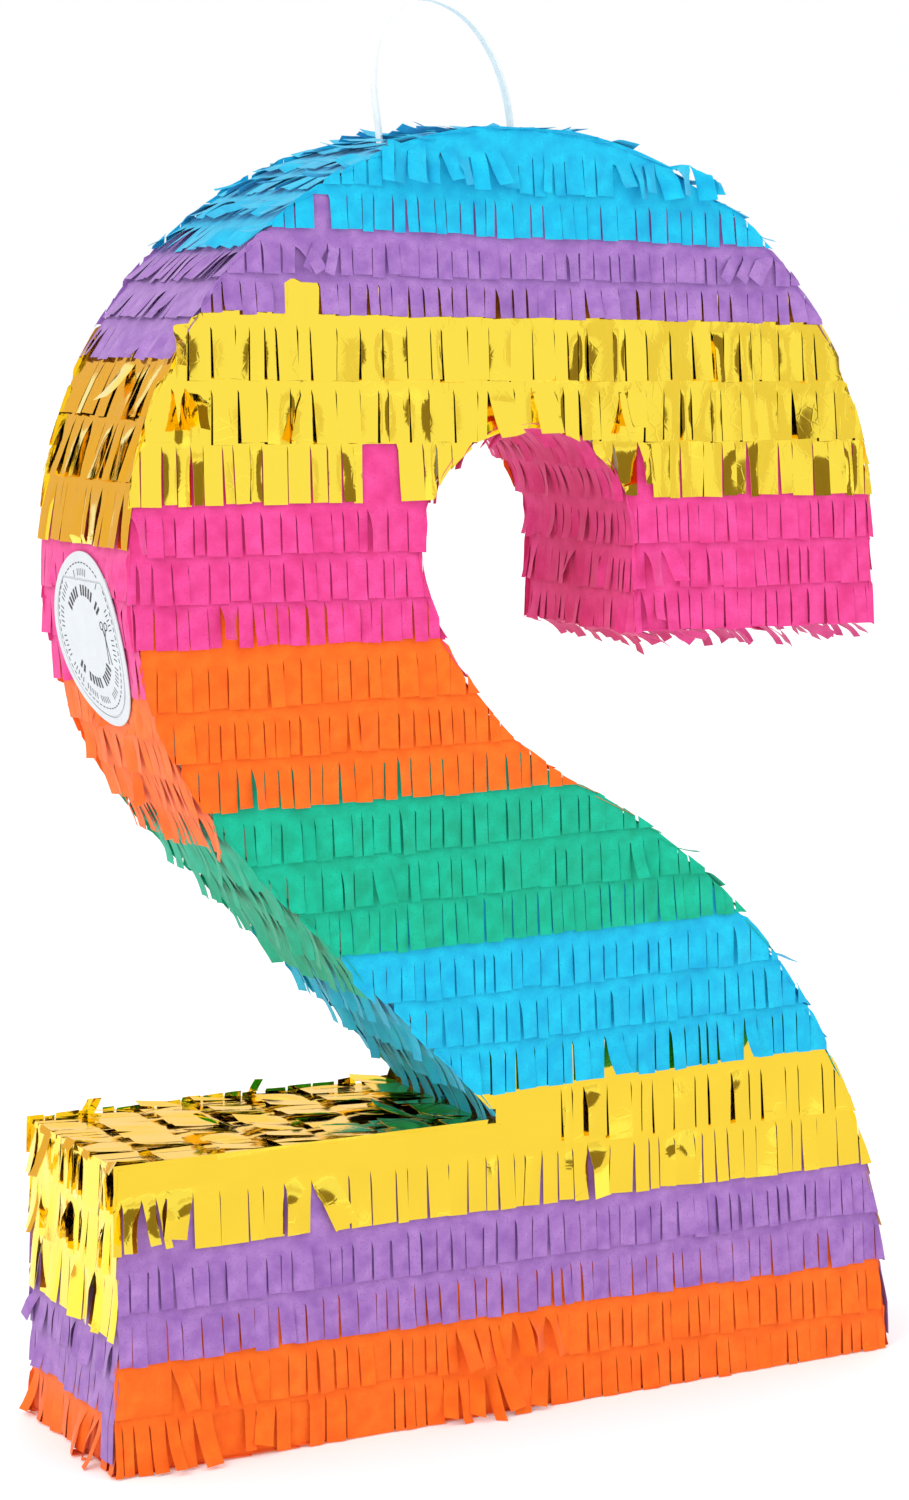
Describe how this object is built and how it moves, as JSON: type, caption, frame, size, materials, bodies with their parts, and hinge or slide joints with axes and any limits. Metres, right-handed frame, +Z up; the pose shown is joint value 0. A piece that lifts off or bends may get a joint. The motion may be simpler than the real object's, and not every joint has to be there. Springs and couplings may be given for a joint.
{
  "type": "pinata",
  "caption": "Number-shaped party pinata: a hollow cardboard numeral covered in rows of fringed tissue and foil, with a fill flap and a hanging ribbon loop.",
  "frame": {"origin": "middle of the base underside", "axes": "+Z up, front face towards -Y, hook's free end towards +X"},
  "size_m": [0.279, 0.076, 0.4546],
  "materials": {
    "grey_board": "matte",
    "paper_tape": "matte",
    "tissue_sky_blue": "matte",
    "tissue_purple": "matte",
    "foil_gold": "gloss",
    "tissue_pink": "matte",
    "tissue_orange": "matte",
    "tissue_green": "matte",
    "sticker_paper": "satin",
    "white_ribbon": "satin"
  },
  "bodies": {
    "shell": {"back_fringe_blue": "tissue_sky_blue", "back_fringe_gold": "foil_gold", "back_fringe_green": "tissue_green", "back_fringe_low_blue": "tissue_sky_blue", "back_fringe_low_gold": "foil_gold", "back_fringe_low_orange": "tissue_orange", "back_fringe_low_purple": "tissue_purple", "back_fringe_orange": "tissue_orange", "back_fringe_pink": "tissue_pink", "back_fringe_purple": "tissue_purple", "back_panel": "grey_board", "base_bottom_fringe_orange": "tissue_orange", "base_bottom_wall": "grey_board", "base_end_fringe_gold": "foil_gold", "base_end_fringe_orange": "tissue_orange", "base_end_fringe_purple": "tissue_purple", "base_left_wall": "grey_board", "base_right_wall": "grey_board", "base_top_fringe_gold": "foil_gold", "base_top_wall": "grey_board", "bay_fringe_pink": "tissue_pink", "bay_wall": "grey_board", "crown_fringe_blue": "tissue_sky_blue", "crown_wall": "grey_board", "front_fringe_blue": "tissue_sky_blue", "front_fringe_gold": "foil_gold", "front_fringe_green": "tissue_green", "front_fringe_low_blue": "tissue_sky_blue", "front_fringe_low_gold": "foil_gold", "front_fringe_low_orange": "tissue_orange", "front_fringe_low_purple": "tissue_purple", "front_fringe_orange": "tissue_orange", "front_fringe_pink": "tissue_pink", "front_fringe_purple": "tissue_purple", "front_panel": "grey_board", "hanger_patch": "grey_board", "hook_end_fringe_pink": "tissue_pink", "hook_end_wall": "grey_board", "joint_tape": "paper_tape", "ribbon_knots": "white_ribbon", "ribbon_tails": "white_ribbon", "seam_tape": "paper_tape", "shoulder_wall": "grey_board", "side_fringe_gold": "foil_gold", "side_fringe_green": "tissue_green", "side_fringe_low_blue": "tissue_sky_blue", "side_fringe_orange": "tissue_orange", "side_fringe_pink": "tissue_pink", "side_fringe_purple": "tissue_purple", "side_wall": "grey_board", "stem_fringe_green": "tissue_green", "stem_fringe_low_blue": "tissue_sky_blue", "stem_fringe_orange": "tissue_orange", "stem_lower_wall": "grey_board", "stem_upper_wall": "grey_board", "sticker_rim": "sticker_paper"},
    "fill_flap": {"flap_board": "grey_board", "flap_tissue": "tissue_pink", "sticker_centre": "sticker_paper"},
    "hanger": {"hanging_ribbon": "white_ribbon"}
  },
  "joints": [
    {"name": "fill_flap_hinge", "type": "hinge", "parent": "shell", "child": "fill_flap", "pos_m": [-0.13507, 0, 0.27018], "axis": [0, 1, 0], "range_deg": [0, 110]},
    {"name": "ribbon_swing", "type": "hinge", "parent": "shell", "child": "hanger", "pos_m": [-0.0082, 0, 0.412], "axis": [1, 0, 0], "range_deg": [-75, 75]}
  ]
}
